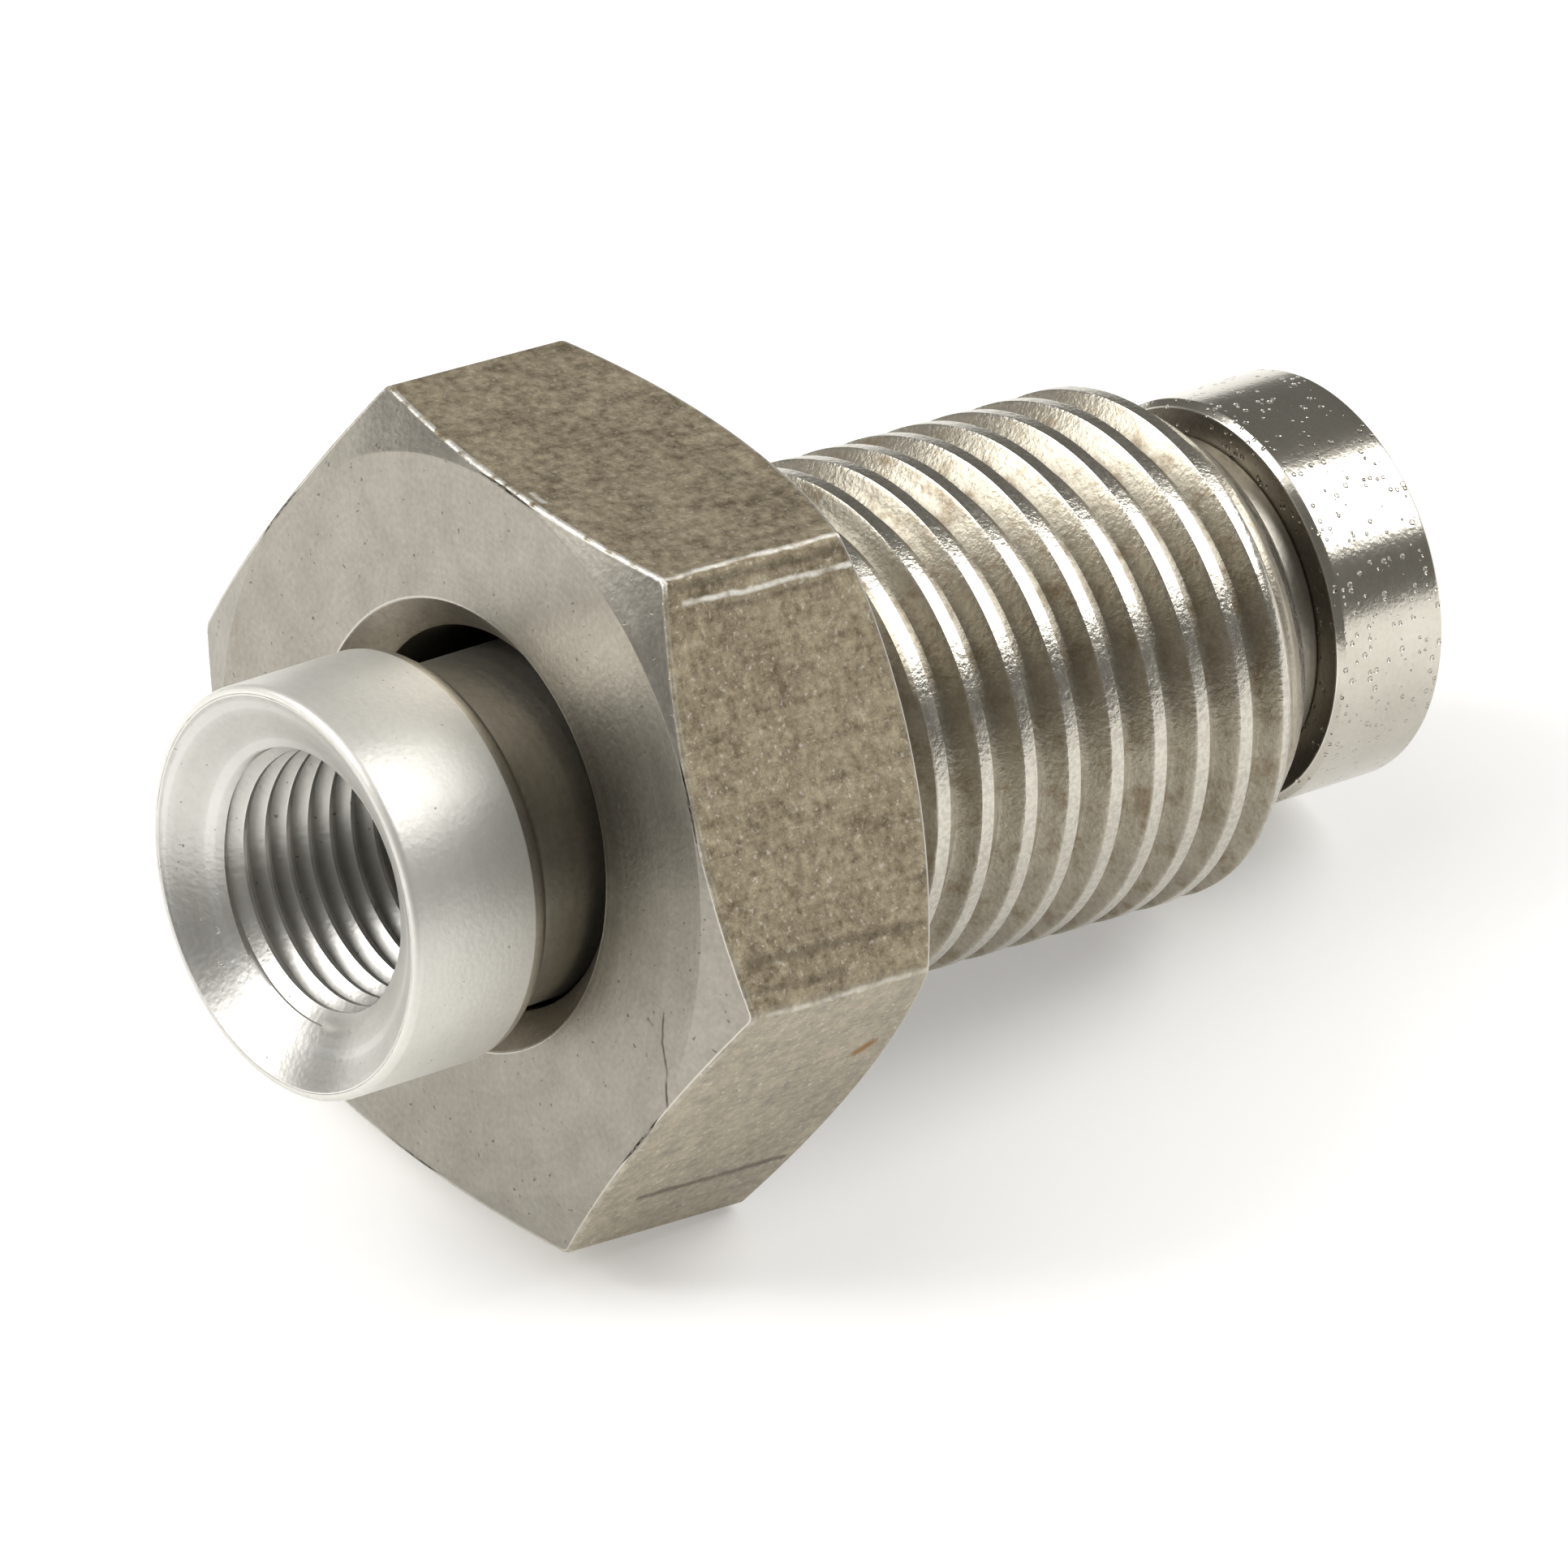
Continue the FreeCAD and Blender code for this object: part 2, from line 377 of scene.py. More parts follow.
def thread_cutter(name):
    """A tree that rolls a flat sheet round the axis and cuts a helical groove in it. Along the sheet
    runs the axis, in millimetres, and across it the angle. Side is 1 outside and -1 in a bore."""
    tree = bpy.data.node_groups.new(name, "GeometryNodeTree")
    tree.interface.new_socket("Sheet", in_out="INPUT", socket_type="NodeSocketGeometry")
    for label in THREAD_INPUTS:
        tree.interface.new_socket(label, in_out="INPUT", socket_type="NodeSocketFloat")
    tree.interface.new_socket("Finish", in_out="INPUT", socket_type="NodeSocketMaterial")
    tree.interface.new_socket("Thread", in_out="OUTPUT", socket_type="NodeSocketGeometry")
    source = tree.nodes.new("NodeGroupInput")
    size = {label: Rule(tree, source.outputs[label]) for label in THREAD_INPUTS}
    place = tree.nodes.new("GeometryNodeInputPosition")
    parts = tree.nodes.new("ShaderNodeSeparateXYZ")
    tree.links.new(place.outputs[0], parts.inputs[0])
    along = Rule(tree, parts.outputs[0])
    angle = Rule(tree, parts.outputs[1])

    turns = angle / FULL_TURN
    x = (along + turns * size["Pitch"]).between(size["First X"], size["Last X"])
    phase = ((x - size["Phase"]) / size["Pitch"] - turns).math("FRACT")
    from_root = (phase - 0.5) * size["Pitch"]
    root_x = x - from_root
    rise = (from_root.math("ABSOLUTE") - size["Root Flat"]) * size["Flank Rise"]
    rise = rise.math("SMOOTH_MAX", 0.0, CREST_SOFTNESS)
    # Fading past the softness leaves no groove at all, so that the sheet's ends meet the turned surfaces
    fade = ((size["Full Depth At"] - root_x) / size["Run Out"]).between(0.0, 1.0)
    fade = fade * (size["Depth"] + CREST_SOFTNESS)
    groove = (size["Depth"] - rise - fade).math("SMOOTH_MAX", 0.0, CREST_SOFTNESS)
    cone = (size["Cone X"] - x) * size["Cone Slope"] + size["Crest Radius"]
    signed = (size["Side"] * size["Crest Radius"] - groove).math("MINIMUM", size["Side"] * cone)
    radius = signed * size["Side"]

    joined = tree.nodes.new("ShaderNodeCombineXYZ")
    for socket, value in enumerate((x, radius * angle.math("COSINE"), radius * angle.math("SINE"))):
        tree.links.new(value.socket, joined.inputs[socket])
    rolled = tree.nodes.new("GeometryNodeSetPosition")
    welded = tree.nodes.new("GeometryNodeMergeByDistance")
    welded.inputs["Distance"].default_value = WELD
    real = tree.nodes.new("GeometryNodeRealizeInstances")
    coated = tree.nodes.new("GeometryNodeSetMaterial")
    target = tree.nodes.new("NodeGroupOutput")
    tree.links.new(source.outputs["Sheet"], rolled.inputs["Geometry"])
    tree.links.new(joined.outputs[0], rolled.inputs["Position"])
    tree.links.new(rolled.outputs[0], welded.inputs[0])
    tree.links.new(welded.outputs[0], real.inputs[0])
    tree.links.new(real.outputs[0], coated.inputs[0])
    tree.links.new(source.outputs["Finish"], coated.inputs["Material"])
    tree.links.new(coated.outputs[0], target.inputs[0])
    return tree


def thread_sheet(around, first_x, last_x, pitch, phase, stations):
    """The flat sheet for the thread cutter. A station is a share of the pitch from a crest, and its wear."""
    sheet = bmesh.new()
    uv = sheet.loops.layers.uv.new(UV_NAME)
    wear = sheet.verts.layers.float.new(WEAR_NAME)
    columns = list(around - around[0]) + [FULL_TURN]
    first_turn = math.floor((first_x - phase) / pitch) - 2
    last_turn = math.ceil((last_x - phase) / pitch) + 1
    grid = []
    for turn in range(first_turn, last_turn + 1):
        for share, worn in stations:
            line = []
            for column in columns:
                vertex = sheet.verts.new((phase + (turn + share) * pitch, column + around[0], 0))
                vertex[wear] = worn
                line.append(vertex)
            grid.append(line)
    for row in range(len(grid) - 1):
        for column in range(len(columns) - 1):
            face = sheet.faces.new((grid[row][column], grid[row][column + 1],
                                    grid[row + 1][column + 1], grid[row + 1][column]))
            face.smooth = True
            for loop in face.loops:
                loop[uv].uv = (loop.vert.co.x, loop.vert.co.y * SHANK_RADIUS)
    mesh = bpy.data.meshes.new("thread_sheet")
    sheet.to_mesh(mesh)
    sheet.free()
    return mesh


def cut_thread(mesh, sheet, cutter, sizes, finish):
    """Cuts a thread in a sheet and adds it to a mesh, with the finish of that number."""
    blank = bpy.data.objects.new("thread_blank", sheet)
    bpy.context.scene.collection.objects.link(blank)
    modifier = blank.modifiers.new("cutter", "NODES")
    modifier.node_group = cutter
    for item in cutter.interface.items_tree:
        if item.in_out == "INPUT" and item.name in sizes:
            modifier[item.identifier] = sizes[item.name]
    blank.update_tag()
    evaluated = blank.evaluated_get(bpy.context.evaluated_depsgraph_get())
    cut = bpy.data.meshes.new_from_object(evaluated)
    blank.modifiers.remove(modifier)
    bpy.data.objects.remove(blank)
    known = len(mesh.faces)
    mesh.from_mesh(cut)
    mesh.faces.ensure_lookup_table()
    for face in mesh.faces[known:]:
        face.material_index = finish
        face.smooth = True
    bpy.data.meshes.remove(cut)
    bpy.data.meshes.remove(sheet)


def blank_mesh():
    mesh = bmesh.new()
    mesh.verts.layers.float.new(WEAR_NAME)
    mesh.loops.layers.uv.new(UV_NAME)
    return mesh


def add_piece(name, mesh, place, materials, body, nodes):
    """Welds a mesh, puts it in its place and makes it a piece that rides on a body."""
    bmesh.ops.remove_doubles(mesh, verts=mesh.verts, dist=WELD)
    bmesh.ops.dissolve_degenerate(mesh, edges=mesh.edges, dist=WELD / 2)
    loose = [vertex for vertex in mesh.verts if not vertex.link_faces]
    bmesh.ops.delete(mesh, geom=loose, context="VERTS")
    bmesh.ops.recalc_face_normals(mesh, faces=mesh.faces)
    bmesh.ops.transform(mesh, matrix=place, verts=mesh.verts)
    data = bpy.data.meshes.new(name)
    mesh.to_mesh(data)
    mesh.free()
    for material in materials:
        data.materials.append(material)
    data.set_sharp_from_angle(angle=SHARP_EDGE)
    piece = bpy.data.objects.new(name, data)
    bpy.context.scene.collection.objects.link(piece)
    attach(piece, body)
    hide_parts(*nodes)


def axis_frame(origin, axis):
    """Matrix from millimetres in a piece's own frame, X along its axis and Y the row's, to the row frame."""
    along = axis.normalized()
    side = Vector((0, 1, 0))
    up = along.cross(side)
    turn = Matrix((along, side, up)).transposed().to_4x4()
    return Matrix.Translation(origin) @ turn @ Matrix.Scale(MILLIMETRE, 4)


# Places of the nut and of the tube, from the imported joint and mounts
spin = frame["joints"][0]
mounts = {mount["name"]: mount for mount in frame["record"]["mounts"]}
hose_thread = mounts["hose_thread"]
hose_thread_middle = (HOSE_BORE_START + HOSE_BORE_END) / 2
tube_axis = -Vector(hose_thread["axis"])
tube_origin = Vector(hose_thread["pos_m"]) - tube_axis * hose_thread_middle * MILLIMETRE
nut_place = axis_frame(Vector(spin["pos_m"]), Vector(spin["axis"]))
tube_place = axis_frame(tube_origin, tube_axis)


def local_place(tree, place):
    """A point of the surface in the piece's own frame, in millimetres, and its UV place."""
    coordinates = tree.nodes.new("ShaderNodeTexCoord")
    flat = tree.nodes.new("ShaderNodeUVMap")
    flat.uv_map = UV_NAME
    mapping = tree.nodes.new("ShaderNodeMapping")
    mapping.vector_type = "TEXTURE"
    mapping.inputs["Location"].default_value = place.to_translation()
    mapping.inputs["Rotation"].default_value = place.to_euler()
    mapping.inputs["Scale"].default_value = (MILLIMETRE,) * 3
    tree.links.new(coordinates.outputs["Object"], mapping.inputs["Vector"])
    return mapping.outputs[0], flat.outputs[0]


def vector_math(tree, operation, *values):
    """A vector worked out from others, each a socket or fixed. Dot product and distance give a number."""
    node = tree.nodes.new("ShaderNodeVectorMath")
    node.operation = operation
    for place, value in enumerate(values):
        socket = node.inputs["Scale"] if operation == "SCALE" and place == 1 else node.inputs[place]
        if isinstance(value, Vector):
            socket.default_value = value
        else:
            tree.links.new(value, socket)
    return node.outputs["Value" if operation in ("DOT_PRODUCT", "DISTANCE") else "Vector"]


def noise(tree, vector, scale=1.0, detail=2.0, roughness=0.5):
    node = tree.nodes.new("ShaderNodeTexNoise")
    node.inputs["Scale"].default_value = scale
    node.inputs["Detail"].default_value = detail
    node.inputs["Roughness"].default_value = roughness
    tree.links.new(vector, node.inputs["Vector"])
    return Rule(tree, node.outputs["Fac"])


def lines_in(tree, uv, stretch, detail, roughness=0.5):
    """Noise drawn out into lines."""
    return noise(tree, vector_math(tree, "MULTIPLY", uv, stretch), detail=detail, roughness=roughness)


def spread(value, low, high):
    """0 below low, 1 above high and even between them."""
    return ((value - low) / (high - low)).between(0.0, 1.0)


def mixed(tree, share, first, second):
    """One colour where the share is 0 and another where it is 1."""
    node = tree.nodes.new("ShaderNodeMix")
    node.data_type = "RGBA"
    tree.links.new(share.socket, node.inputs[0])
    for place, colour in ((6, first), (7, second)):
        if isinstance(colour, tuple):
            node.inputs[place].default_value = (*colour, 1.0)
        else:
            tree.links.new(colour, node.inputs[place])
    return node.outputs[2]


def darker(colour, share):
    return tuple(value * share for value in colour)


def wear_of(tree):
    """The wear that the mesh carries, from 0 to 1."""
    node = tree.nodes.new("ShaderNodeAttribute")
    node.attribute_name = WEAR_NAME
    return Rule(tree, node.outputs["Fac"])


def relief(tree, height, depth, below=None):
    """Bump from a height of 0 to 1, whose full depth is in micrometres."""
    node = tree.nodes.new("ShaderNodeBump")
    node.inputs["Strength"].default_value = 1.0
    node.inputs["Distance"].default_value = depth * MICROMETRE
    tree.links.new(height.socket, node.inputs["Height"])
    if below is not None:
        tree.links.new(below, node.inputs["Normal"])
    return node.outputs[0]


def metal(name, anisotropy=0.0, solid=1.0):
    """A material with a metal shader, and its tree. Along the grain lies the U of the UV map. Solid is
    how much of it mirrors, for the rest is a matt skin."""
    material = bpy.data.materials.new(name)
    material.use_nodes = True
    tree = material.node_tree
    shader = tree.nodes["Principled BSDF"]
    shader.inputs["Metallic"].default_value = solid
    if anisotropy:
        shader.inputs["Anisotropic"].default_value = anisotropy
        tangent = tree.nodes.new("ShaderNodeTangent")
        tangent.direction_type = "UV_MAP"
        tangent.uv_map = UV_NAME
        tree.links.new(tangent.outputs[0], shader.inputs["Tangent"])
    return material, tree, shader


def coat(tree, shader, colour, roughness, normal):
    """Gives a shader its colour, its roughness and its relief."""
    tree.links.new(colour, shader.inputs["Base Color"])
    tree.links.new(roughness.socket, shader.inputs["Roughness"])
    tree.links.new(normal, shader.inputs["Normal"])


def scratch(tree, point, start, end, width):
    """1 on a straight mark between two places in millimetres, fading to 0 at its width."""
    start = Vector(start)
    way = Vector(end) - start
    run = vector_math(tree, "SUBTRACT", point, start)
    along = vector_math(tree, "DOT_PRODUCT", run, way / way.length_squared)
    nearest = vector_math(tree, "SCALE", way, Rule(tree, along).between(0.0, 1.0).socket)
    away = vector_math(tree, "DISTANCE", run, nearest)
    return spread(Rule(tree, away), width, width * MARK_CORE_SHARE)


def scratches_on(tree, point, marks):
    """The strongest of some marks at each place, each a little unsteady. A mark is its start, its end, its
    width and its strength."""
    shake = tree.nodes.new("ShaderNodeTexNoise")
    shake.inputs["Scale"].default_value = MARK_WAVES_PER_MM
    tree.links.new(point, shake.inputs["Vector"])
    shaken = vector_math(tree, "SUBTRACT", shake.outputs["Color"], Vector((0.5, 0.5, 0.5)))
    shaken = vector_math(tree, "MULTIPLY", shaken, Vector((MARK_WAVER, MARK_WAVER, MARK_WAVER)))
    point = vector_math(tree, "ADD", point, shaken)
    strongest = None
    for start, end, width, strength in marks:
        mark = scratch(tree, point, start, end, width) * strength
        strongest = mark if strongest is None else strongest.math("MAXIMUM", mark)
    return strongest


def on_flat(tree, point, way, deep, shallow):
    """1 down to a shallow depth below the flat that lies out along a way, and 0 from a deep one."""
    out = Rule(tree, vector_math(tree, "DOT_PRODUCT", point, way))
    return spread(out, HEX_INNER_RADIUS - deep, HEX_INNER_RADIUS - shallow)


def turned_steel(name, place, colour, dark, roughness, anisotropy, line_depth, pits, edge,
                 solid=1.0, marks=()):
    """Steel from the lathe: fine lines round the axis, a soft cloudiness, small dark pits and bright
    edges. The depth of the lines is in micrometres. The higher pits is, from 0 to 1, the more there are."""
    material, tree, shader = metal(name, anisotropy, solid)
    point, uv = local_place(tree, place)
    lines = lines_in(tree, uv, LATHE_LINES, detail=3.0, roughness=0.7)
    clouds = noise(tree, point, scale=0.9, detail=5.0, roughness=0.6)
    grain = noise(tree, point, scale=7.0, detail=1.0)
    pitted = spread(noise(tree, point, scale=5.0, roughness=0.6), 1.0 - pits, 1.04 - pits)
    tone = spread(clouds * 0.5 + grain * 0.3 + lines * 0.2, 0.3, 0.7)
    deep = darker(dark, 0.25)
    base = mixed(tree, tone, dark, colour)
    base = mixed(tree, pitted * 0.5, base, deep)
    if marks:
        base = mixed(tree, scratches_on(tree, point, marks), base, deep)
    worn = wear_of(tree) * 0.7
    base = mixed(tree, worn, base, edge)
    rough = lines * 0.12 + pitted * 0.2 + (roughness - 0.06) - worn * 0.1
    fine = relief(tree, lines, line_depth)
    coat(tree, shader, base, rough, relief(tree, grain - pitted * 0.5, 6, fine))
    return material


def thread_steel(name, place, crest, groove, dirt):
    """Cut thread: bright, smooth crests, and duller grooves with dirt in them."""
    material, tree, shader = metal(name, anisotropy=0.5)
    point, uv = local_place(tree, place)
    lines = lines_in(tree, uv, LATHE_LINES, detail=3.0, roughness=0.7)
    grain = noise(tree, point, scale=8.0, roughness=0.6)
    clouds = noise(tree, point, scale=0.8, detail=3.0)
    soiled = spread(noise(tree, point, scale=1.3, detail=5.0, roughness=0.65), 0.50, 0.70)
    crested = wear_of(tree)
    dull = mixed(tree, spread(clouds * 0.5 + grain * 0.5, 0.34, 0.66), darker(groove, 0.72), groove)
    dull = mixed(tree, soiled * 0.6, dull, dirt)
    bright = mixed(tree, spread(grain, 0.35, 0.6), darker(crest, 0.8), crest)
    base = mixed(tree, crested, dull, bright)
    rough = lines * 0.1 + soiled * 0.1 - crested * 0.14 + 0.35
    fine = relief(tree, lines, 3)
    coat(tree, shader, base, rough, relief(tree, grain, 14, fine))
    return material


def drawn_steel(name, place, colour, dark, edge, wear_and_glint_marks, dark_marks, rust):
    """Drawn hexagon bar: a brownish, grainy skin with bright specks, and scratches along the bar. The flat
    that faces the floor is painted paler as a floor reflection, and the bright edges of the top flat and the
    bright marks along the corners are partly wear and partly painted highlights.
    """
    material, tree, shader = metal(name, solid=0.72)
    point, uv = local_place(tree, place)
    grain = noise(tree, point, scale=3.8, detail=6.0, roughness=0.75)
    blotches = noise(tree, point, scale=0.9, detail=3.0)
    scratches = lines_in(tree, uv, BAR_LINES, detail=3.0, roughness=0.6)
    specks = spread(noise(tree, point, scale=8.0), 0.62, 0.72)
    scored = spread(scratches, 0.60, 0.74)
    tone = spread(grain * 0.65 + blotches * 0.2 + scratches * 0.15, 0.38, 0.62)
    deep = darker(dark, 0.5)
    rusty = scratches_on(tree, point, rust)
    base = mixed(tree, tone, dark, colour)
    # Painted floor reflection: the flat that faces the floor is made paler
    base = mixed(tree, on_flat(tree, point, FLOOR_FACING_FLAT, 0.2, 0.05) * 0.3, base, PAINTED_FLOOR_REFLECTION)
    base = mixed(tree, specks * 0.35, base, edge)
    base = mixed(tree, scored * 0.35, base, deep)
    base = mixed(tree, scratches_on(tree, point, dark_marks), base, deep)
    base = mixed(tree, rusty, base, RUST)
    broken = spread(noise(tree, point, scale=2.6, detail=3.0), 0.36, 0.52)
    # Worn edges, strongest on the top flat, and the bright marks along the corners: partly burnished wear,
    # partly painted highlight
    worn = wear_of(tree) * broken * (on_flat(tree, point, WORN_AND_PAINTED_GLINT_FLAT, 0.3, 0.1) * 0.8 + 0.2)
    worn = worn.math("MAXIMUM", scratches_on(tree, point, wear_and_glint_marks) * (broken * 0.6 + 0.4))
    base = mixed(tree, worn * 0.9, base, edge)
    rough = grain * 0.2 - specks * 0.15 - worn * 0.2 + 0.42
    skin = relief(tree, grain - rusty, 45)
    coat(tree, shader, base, rough, relief(tree, scratches, 8, skin))
    return material


def bright_steel(name, place, colour, dark, roughness, edge):
    """Polished steel with fine turning lines and scattered small round pits."""
    material, tree, shader = metal(name, anisotropy=0.3)
    point, uv = local_place(tree, place)
    lines = lines_in(tree, uv, POLISHING_LINES, detail=2.0)
    grain = noise(tree, point, scale=9.0)
    clouds = noise(tree, point, scale=0.6)
    cells = tree.nodes.new("ShaderNodeTexVoronoi")
    cells.inputs["Scale"].default_value = SLEEVE_PITS_PER_MM
    tree.links.new(point, cells.inputs["Vector"])
    away = Rule(tree, cells.outputs["Distance"])
    chances = tree.nodes.new("ShaderNodeSeparateColor")
    tree.links.new(cells.outputs["Color"], chances.inputs[0])
    reach = Rule(tree, chances.outputs[0]) * SLEEVE_PIT_SPREAD - (SLEEVE_PIT_SPREAD - SLEEVE_PIT_LARGEST)
    pitted = ((reach - away) / SLEEVE_PIT_SLOPE).between(0.0, 1.0)
    worn = wear_of(tree) * 0.8
    base = mixed(tree, spread(clouds * 0.6 + grain * 0.4, 0.3, 0.7), dark, colour)
    base = mixed(tree, worn, base, edge)
    rough = lines * 0.08 + pitted * 0.12 + roughness
    fine = relief(tree, lines, 0.8)
    coat(tree, shader, base, rough, relief(tree, pitted * -1.0 + grain * 0.12, 30, fine))
    return material


def nut_finishes():
    return [
        turned_steel("turned_face_steel", nut_place, colour=(0.405, 0.38, 0.33), dark=(0.265, 0.245, 0.21),
                     roughness=0.33, anisotropy=0.6, line_depth=2, pits=0.32, edge=BRIGHT_EDGE,
                     marks=FACE_MARKS),
        drawn_steel("drawn_flat_steel", nut_place, colour=(0.50, 0.43, 0.30), dark=(0.155, 0.12, 0.072),
                    edge=BRIGHT_EDGE, wear_and_glint_marks=WEAR_AND_GLINT_MARKS, dark_marks=DARK_MARKS, rust=RUST_MARKS),
        thread_steel("cut_thread_steel", nut_place, crest=(0.60, 0.57, 0.495), groove=(0.49, 0.45, 0.365),
                     dirt=(0.19, 0.12, 0.05)),
        turned_steel("bored_steel", nut_place, colour=(0.46, 0.425, 0.36), dark=(0.28, 0.25, 0.20),
                     roughness=0.34, anisotropy=0.4, line_depth=2, pits=0.3, edge=BRIGHT_EDGE),
    ]


def tube_finishes():
    return [
        turned_steel("satin_collar_steel", tube_place, colour=(0.82, 0.805, 0.75), dark=(0.72, 0.705, 0.65),
                     roughness=0.43, anisotropy=0.3, line_depth=1, pits=0.27, edge=COLLAR_EDGE, solid=0.6),
        turned_steel("mouth_cone_steel", tube_place, colour=(0.60, 0.59, 0.55), dark=(0.50, 0.49, 0.455),
                     roughness=0.41, anisotropy=0.5, line_depth=1.5, pits=0.30, edge=COLLAR_EDGE),
        turned_steel("stem_steel", tube_place, colour=(0.58, 0.55, 0.48), dark=(0.42, 0.395, 0.335),
                     roughness=0.40, anisotropy=0.4, line_depth=1, pits=0.28, edge=BRIGHT_EDGE),
        turned_steel("tapped_bore_steel", tube_place, colour=(0.56, 0.56, 0.53), dark=(0.42, 0.42, 0.39),
                     roughness=0.42, anisotropy=0.4, line_depth=1, pits=0.26, edge=BRIGHT_EDGE),
    ]


def sleeve_finishes():
    return [
        bright_steel("bright_sleeve_steel", tube_place, colour=(0.62, 0.59, 0.52), dark=(0.52, 0.49, 0.42),
                     roughness=0.15, edge=BRIGHT_EDGE),
        # Painted shade: the sleeve's end faces, one of which lies in the shadow between nut and sleeve, are
        # coloured far darker than its side
        bright_steel("sleeve_end_painted_shade_steel", tube_place, colour=(0.26, 0.23, 0.185), dark=(0.16, 0.14, 0.11),
                     roughness=0.34, edge=BRIGHT_EDGE),
    ]


def bevel_drop(face_radius, bevel_angle, radius):
    """How far behind its face the hexagon's crowned bevel has dropped, at a radius from the axis."""
    ball_radius = face_radius / math.sin(bevel_angle)
    return ball_radius * math.cos(bevel_angle) - np.sqrt(ball_radius ** 2 - radius ** 2)


def there_and_back(half):
    """Stations from one crest to the next, from those between a crest and the middle of the groove."""
    return half + [(1 - share, worn) for share, worn in reversed(half) if 0 < share < 0.5]


def nut_thread_stations():
    """Shares of the pitch from a crest, closer together over the edges of crest and root."""
    root = (1 - THREAD_ROOT_SHARE) / 2
    flank = root - THREAD_DEPTH * math.tan(THREAD_FLANK_ANGLE) / THREAD_PITCH
    return there_and_back([
        (0.0, 1.0), (flank * 0.75, 1.0), (flank * 0.97, 1.0), (flank * 1.12, 0.2), (flank * 1.3, 0.0),
        ((flank + root) / 2, 0.0), (root * 0.94, 0.0), (root * 1.06, 0.0), (0.5, 0.0),
    ])


def hose_thread_stations():
    return there_and_back([(0.0, 0.5), (0.08, 0.5), (0.13, 0.2), (0.3, 0.0), (0.45, 0.0)])


def make_gland_nut(cutter):
    around, from_flat = hexagon_angles()
    side = np.array([across(angle) for angle in from_flat])
    front_x = bevel_drop(FRONT_FACE_RADIUS, FRONT_BEVEL_ANGLE, side)
    back_x = HEX_HEIGHT - bevel_drop(BACK_FACE_RADIUS, BACK_BEVEL_ANGLE, side)
    nose_end = NOSE_START + NOSE_LENGTH
    nose_radius = SHANK_RADIUS - NOSE_LENGTH * math.tan(NOSE_ANGLE)
    mouth_depth = BORE_MOUTH_RADIUS - BORE_RADIUS
    mesh = blank_mesh()
    turned(mesh, around, rounded([
        (nose_end, nose_radius, 0, FACE, 0),
        (nose_end, BORE_RADIUS + BORE_EXIT_BEVEL, BORE_EXIT_ROUND, BORE, 0.5),
        (nose_end - BORE_EXIT_BEVEL, BORE_RADIUS, BORE_EXIT_ROUND, BORE, 0.3),
        (mouth_depth, BORE_RADIUS, BORE_ROUND, BORE, 0),
        (0, BORE_MOUTH_RADIUS, BORE_MOUTH_ROUND, FACE, 0.6),
        (0, FRONT_FACE_RADIUS, FRONT_RIM_ROUND, FACE, 0),
        (front_x, side, EDGE_ROUND, FLAT, 1),
        (back_x, side, EDGE_ROUND, FACE, 0.6),
        (HEX_HEIGHT, BACK_FACE_RADIUS, BACK_RIM_ROUND, FACE, 0),
        (HEX_HEIGHT, SHANK_RADIUS, SHANK_ROOT_ROUND, THREAD, 0),
        (THREAD_START, SHANK_RADIUS, 0, THREAD, 0.6),
    ]))
    sheet = thread_sheet(around, THREAD_START, nose_end, THREAD_PITCH, THREAD_PHASE, nut_thread_stations())
    cut_thread(mesh, sheet, cutter, {
        "Pitch": THREAD_PITCH,
        "Crest Radius": SHANK_RADIUS,
        "Depth": THREAD_DEPTH,
        "Root Flat": THREAD_ROOT_SHARE * THREAD_PITCH / 2,
        "Flank Rise": 1 / math.tan(THREAD_FLANK_ANGLE),
        "Phase": THREAD_PHASE,
        "Full Depth At": THREAD_FULL,
        "Run Out": THREAD_RUN_OUT,
        "First X": THREAD_START,
        "Last X": nose_end,
        "Cone X": NOSE_START,
        "Cone Slope": math.tan(NOSE_ANGLE),
        "Side": 1.0,
    }, THREAD)
    add_piece("gland_nut_dressed", mesh, nut_place, nut_finishes(), "nut", ["gland_nut"])


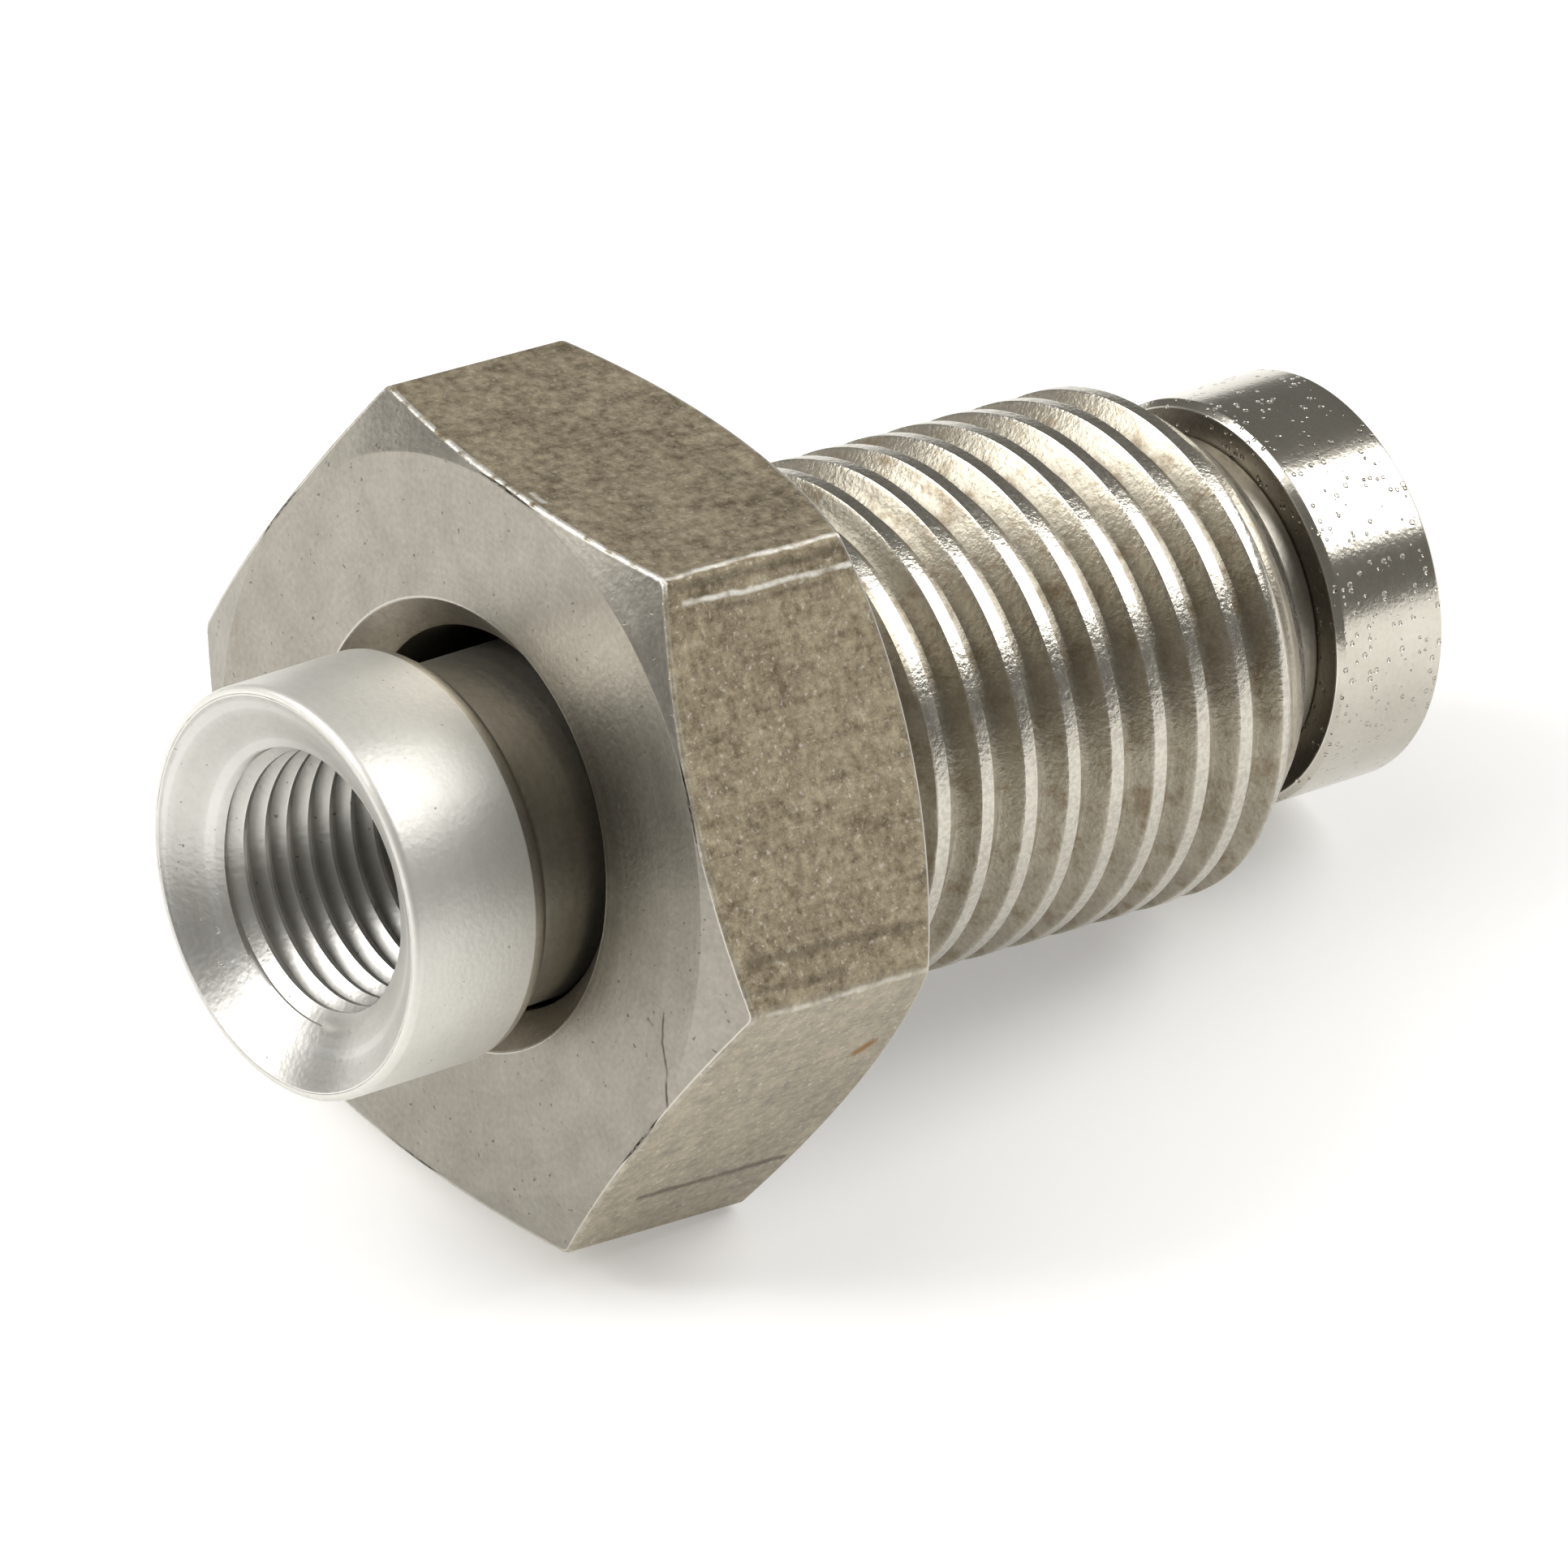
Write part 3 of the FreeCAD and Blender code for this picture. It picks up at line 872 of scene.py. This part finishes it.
def make_swivel_tube(cutter):
    around = tube_angles()
    mesh = blank_mesh()
    stem_start = MOUTH_X + COLLAR_LENGTH
    spigot_end = TUBE_END - SPIGOT_END_GAP
    passage_start = HOSE_BORE_END + (HOSE_BORE_RADIUS - PASSAGE_RADIUS) / DRILL_SLOPE
    passage_end = spigot_end - (PASSAGE_MOUTH_RADIUS - PASSAGE_RADIUS)
    sheet_start = MOUTH_X + MOUTH_RIM_DEPTH
    sheet_radius = HOSE_BORE_RADIUS + (HOSE_BORE_START - sheet_start) * MOUTH_SLOPE
    turned(mesh, around, rounded([
        (sheet_start, sheet_radius, 0, CONE, 0),
        (MOUTH_X, CONE_START_RADIUS, MOUTH_RIM_ROUND, COLLAR, 0.5),
        (MOUTH_X, COLLAR_RADIUS, COLLAR_FRONT_ROUND, COLLAR, 0),
        (stem_start, COLLAR_RADIUS, COLLAR_BACK_ROUND, STEM, 0),
        (stem_start, STEM_RADIUS, STEM_ROOT_ROUND, STEM, 0),
        (STEM_END, STEM_RADIUS, STEM_END_ROUND, STEM, 0.3),
        (STEM_END, SPIGOT_RADIUS, 0, STEM, 0),
        (spigot_end - SPIGOT_BEVEL, SPIGOT_RADIUS, 0, STEM, 0),
        (spigot_end, SPIGOT_RADIUS - SPIGOT_BEVEL, SPIGOT_ROUND, STEM, 0.5),
        (spigot_end, PASSAGE_MOUTH_RADIUS, PASSAGE_ROUND, STEM, 0.5),
        (passage_end, PASSAGE_RADIUS, PASSAGE_ROUND, HOLE, 0),
        (passage_start, PASSAGE_RADIUS, PASSAGE_ROUND, HOLE, 0),
        (HOSE_BORE_END, HOSE_BORE_RADIUS, 0, HOLE, 0),
    ]))
    sheet = thread_sheet(around, sheet_start, HOSE_BORE_END, HOSE_THREAD_PITCH, HOSE_THREAD_PHASE,
                         hose_thread_stations())
    cut_thread(mesh, sheet, cutter, {
        "Pitch": HOSE_THREAD_PITCH,
        "Crest Radius": HOSE_BORE_RADIUS,
        "Depth": HOSE_THREAD_DEPTH,
        "Root Flat": HOSE_THREAD_ROOT_SHARE * HOSE_THREAD_PITCH / 2,
        "Flank Rise": HOSE_THREAD_DEPTH / (HOSE_THREAD_FLANK_SHARE * HOSE_THREAD_PITCH),
        "Phase": HOSE_THREAD_PHASE,
        "Full Depth At": HOSE_BORE_END - HOSE_THREAD_RUN_OUT - HOSE_THREAD_END_GAP,
        "Run Out": -HOSE_THREAD_RUN_OUT,
        "First X": sheet_start,
        "Last X": HOSE_BORE_END,
        "Cone X": HOSE_BORE_START,
        "Cone Slope": MOUTH_SLOPE,
        "Side": -1.0,
    }, CONE)
    add_piece("swivel_tube_dressed", mesh, tube_place, tube_finishes(), "tube", ["swivel_tube"])


def make_end_sleeve():
    mesh = blank_mesh()
    outer = SLEEVE_RADIUS - SLEEVE_OUTER_BEVEL
    turned(mesh, tube_angles(), rounded([
        (STEM_END, SPIGOT_RADIUS, 0, PAINTED_SHADE_END, 0),
        (STEM_END, outer, SLEEVE_END_ROUND, RIM, 0.8),
        (STEM_END + SLEEVE_OUTER_BEVEL, SLEEVE_RADIUS, SLEEVE_SIDE_ROUND, RIM, 0),
        (TUBE_END - SLEEVE_OUTER_BEVEL, SLEEVE_RADIUS, SLEEVE_SIDE_ROUND, RIM, 0),
        (TUBE_END, outer, SLEEVE_END_ROUND, PAINTED_SHADE_END, 0.8),
        (TUBE_END, SPIGOT_RADIUS + SLEEVE_INNER_BEVEL, SLEEVE_END_ROUND, PAINTED_SHADE_END, 0.5),
        (TUBE_END - SLEEVE_INNER_BEVEL, SPIGOT_RADIUS, 0, PAINTED_SHADE_END, 0),
    ], closed=True), closed=True)
    add_piece("end_sleeve_dressed", mesh, tube_place, sleeve_finishes(), "tube",
              ["end_sleeve"])


def make_floor():
    """A pale floor that glows a little to the eye and in mirrors, and gives no light to matt surfaces."""
    half = FLOOR_REACH
    corners = [(-half, -half, 0), (half, -half, 0), (half, half, 0), (-half, half, 0)]
    data = bpy.data.meshes.new("floor")
    data.from_pydata(corners, [], [(0, 1, 2, 3)])
    floor = bpy.data.objects.new("floor", data)
    bpy.context.scene.collection.objects.link(floor)
    material = bpy.data.materials.new("pale_floor")
    material.use_nodes = True
    tree = material.node_tree
    shader = tree.nodes["Principled BSDF"]
    shader.inputs["Base Color"].default_value = FLOOR_COLOUR
    shader.inputs["Roughness"].default_value = FLOOR_ROUGHNESS
    shader.inputs["Specular IOR Level"].default_value = 0.0
    path = tree.nodes.new("ShaderNodeLightPath")
    seen = Rule(tree, path.outputs["Is Camera Ray"])
    mirrored = Rule(tree, path.outputs["Is Glossy Ray"])
    seen_through = Rule(tree, path.outputs["Is Transmission Ray"])
    shader.inputs["Emission Color"].default_value = (1, 1, 1, 1)
    glow = (seen + mirrored + seen_through).between(0.0, 1.0) * FLOOR_GLOW
    tree.links.new(glow.socket, shader.inputs["Emission Strength"])
    data.materials.append(material)


def softbox(name, direction, distance, width, height, radiance):
    """A rectangular lamp that looks at the object from a direction. Radiance 1 is white."""
    lamp = bpy.data.lights.new(name, "AREA")
    lamp.shape = "RECTANGLE"
    lamp.size = width
    lamp.size_y = height
    lamp.energy = radiance * math.pi * width * height
    holder = bpy.data.objects.new(name, lamp)
    holder.location = Vector(direction).normalized() * distance
    holder.rotation_mode = "QUATERNION"
    holder.rotation_quaternion = Vector(direction).to_track_quat("Z", "Y")
    bpy.context.scene.collection.objects.link(holder)


def make_light():
    world = bpy.data.worlds.new("room")
    world.use_nodes = True
    world.node_tree.nodes["Background"].inputs["Color"].default_value = ROOM_COLOUR
    bpy.context.scene.world = world
    for lamp in LAMPS:
        softbox(*lamp)


def make_camera():
    forward = Vector((-math.sin(CAMERA_AZIMUTH) * math.cos(CAMERA_ELEVATION),
                      math.cos(CAMERA_AZIMUTH) * math.cos(CAMERA_ELEVATION),
                      -math.sin(CAMERA_ELEVATION)))
    level = forward.cross(Vector((0, 0, 1))).normalized()
    upright = level.cross(forward)
    right = level * math.cos(CAMERA_ROLL) + upright * math.sin(CAMERA_ROLL)
    up = right.cross(forward)
    data = bpy.data.cameras.new("camera")
    data.sensor_width = CAMERA_SENSOR
    data.lens = CAMERA_LENS
    data.clip_start = CAMERA_NEAREST
    data.clip_end = CAMERA_FARTHEST
    camera = bpy.data.objects.new("camera", data)
    turn = Matrix((right, up, -forward)).transposed().to_4x4()
    spot = (Vector(CAMERA_TARGET) - forward * CAMERA_DISTANCE) * MILLIMETRE
    camera.matrix_world = Matrix.Translation(spot) @ turn
    bpy.context.scene.collection.objects.link(camera)
    bpy.context.scene.camera = camera


thread_tree = thread_cutter("helical_thread_cutter")
make_gland_nut(thread_tree)
make_swivel_tube(thread_tree)
make_end_sleeve()
make_floor()
make_light()
make_camera()
bpy.context.scene.view_settings.view_transform = "Standard"
